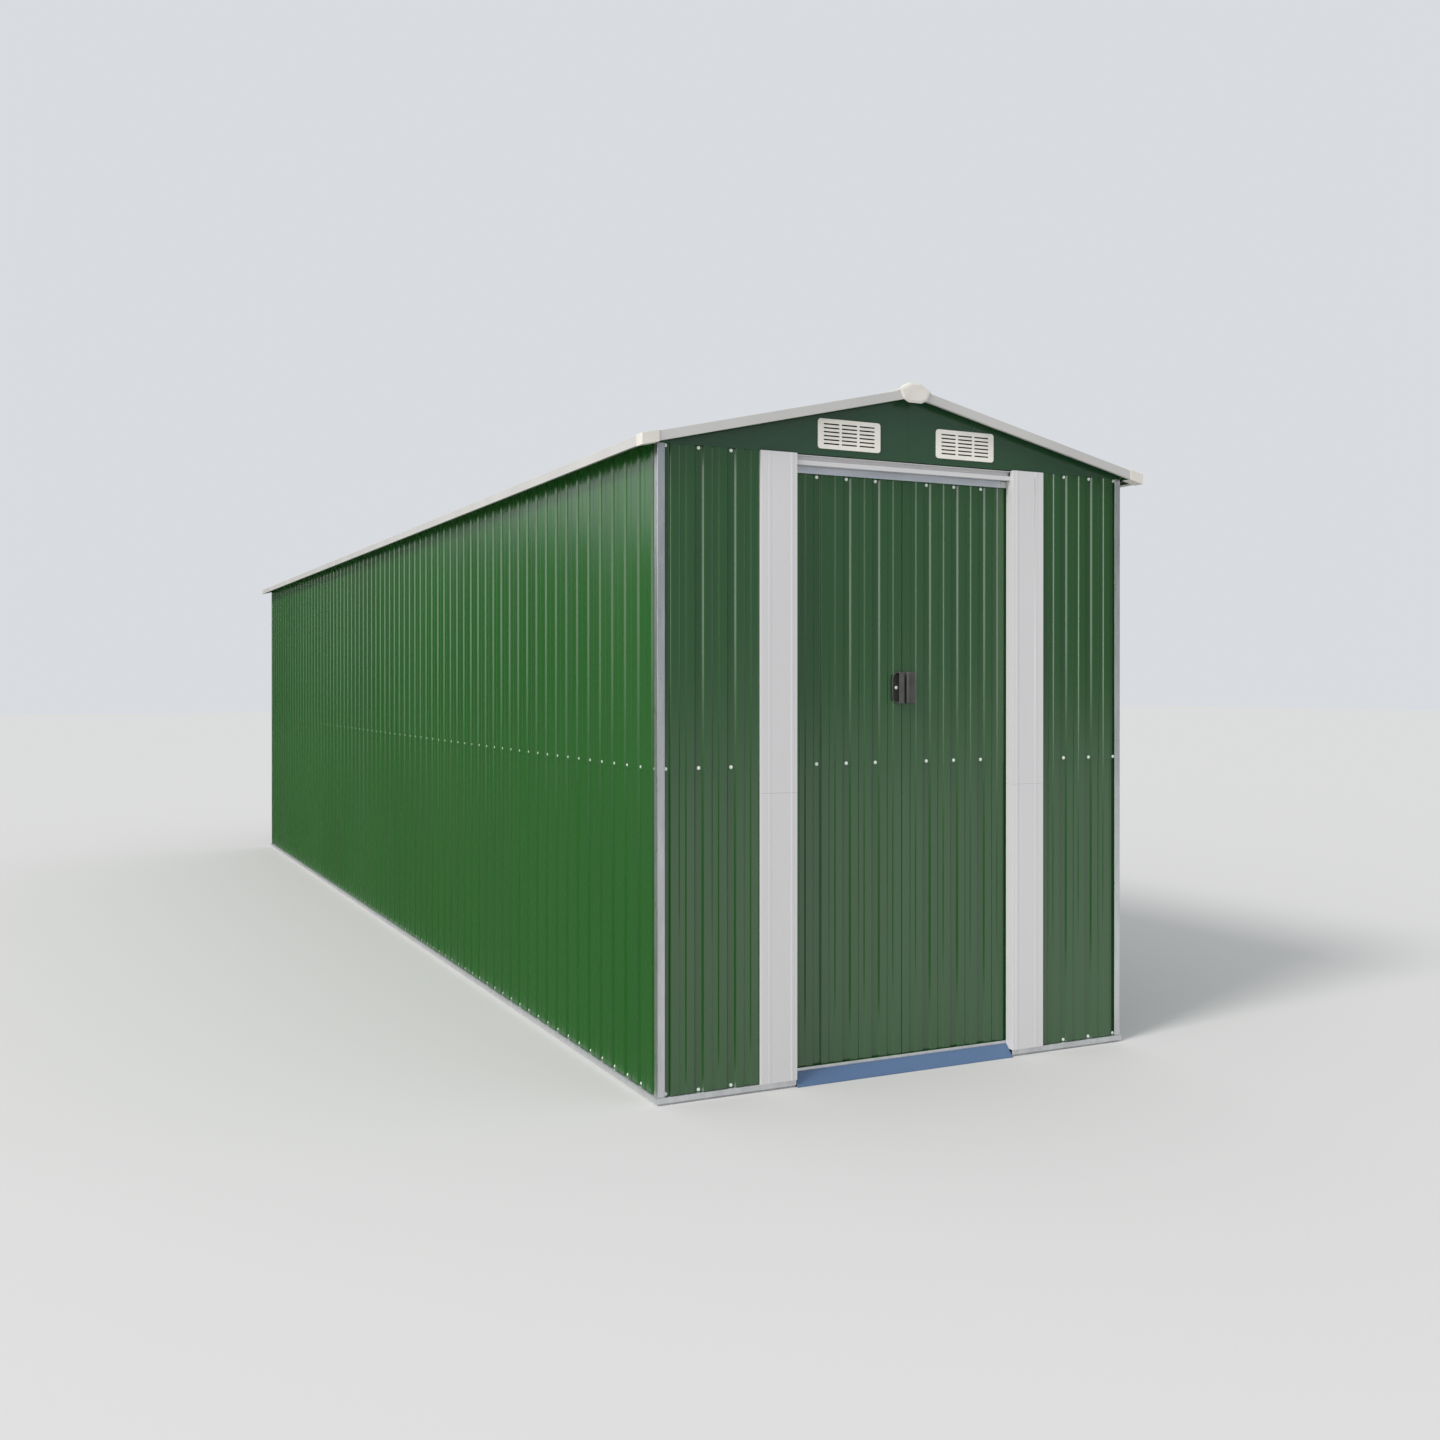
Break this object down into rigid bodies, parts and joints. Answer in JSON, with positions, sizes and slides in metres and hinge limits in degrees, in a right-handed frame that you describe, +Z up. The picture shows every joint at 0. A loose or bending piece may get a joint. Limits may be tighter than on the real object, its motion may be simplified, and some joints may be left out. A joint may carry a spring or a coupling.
{
  "type": "metal storage shed",
  "caption": "Long, narrow pitched-roof shed of ribbed sheet metal with two sliding door leaves in one gable end, louvred gable vents, pale roof trims and an open floor.",
  "frame": {"origin": "centre of the bounding box in plan, on the ground under the base rails", "axes": "+X to the right as seen from the door end, +Y from the door end to the rear, +Z up"},
  "size_m": [1.9194, 7.7334, 2.243],
  "materials": {
    "green_sheet": "satin coil coating",
    "galvanised": "plain galvanised",
    "trim_white": "satin",
    "strip_grey": "satin",
    "plastic_cream": "moulded",
    "plastic_dark": "moulded",
    "blue_sill": "satin",
    "plastic_glide": "moulded"
  },
  "bodies": {
    "shed": {"bottom_track": "galvanised", "corner_posts": "galvanised", "door_header": "strip_grey", "door_jambs_lower": "strip_grey", "door_jambs_upper": "strip_grey", "door_sill": "blue_sill", "eave_corner_caps": "plastic_cream", "front_barge_trims": "trim_white", "front_base_rails": "galvanised", "front_gable_left": "green_sheet", "front_gable_right": "green_sheet", "front_wing_left_lower": "green_sheet", "front_wing_left_upper": "green_sheet", "front_wing_right_lower": "green_sheet", "front_wing_right_upper": "green_sheet", "gable_vents": "plastic_cream", "left_base_rail": "galvanised", "left_eave_trim": "trim_white", "left_wall_lower": "green_sheet", "left_wall_upper": "green_sheet", "mid_rails": "galvanised", "rear_barge_trims": "trim_white", "rear_base_rail": "galvanised", "rear_gable_left": "green_sheet", "rear_gable_right": "green_sheet", "rear_wall_lower": "green_sheet", "rear_wall_upper": "green_sheet", "ridge_cap": "trim_white", "ridge_end_caps": "plastic_cream", "right_base_rail": "galvanised", "right_eave_trim": "trim_white", "right_wall_lower": "green_sheet", "right_wall_upper": "green_sheet", "roof_beams": "galvanised", "roof_left": "green_sheet", "roof_right": "green_sheet", "top_rails": "galvanised", "top_track": "galvanised"},
    "door_left": {"door_left_frame": "galvanised", "door_left_glides": "plastic_glide", "door_left_handle": "plastic_dark", "door_left_leaf": "green_sheet"},
    "door_right": {"door_right_frame": "galvanised", "door_right_glides": "plastic_glide", "door_right_handle": "plastic_dark", "door_right_leaf": "green_sheet"}
  },
  "joints": [
    {"name": "door_left_slide", "type": "slide", "parent": "shed", "child": "door_left", "axis": [-1, 0, 0], "range_m": [0, 0.355]},
    {"name": "door_right_slide", "type": "slide", "parent": "shed", "child": "door_right", "axis": [1, 0, 0], "range_m": [0, 0.355]}
  ]
}
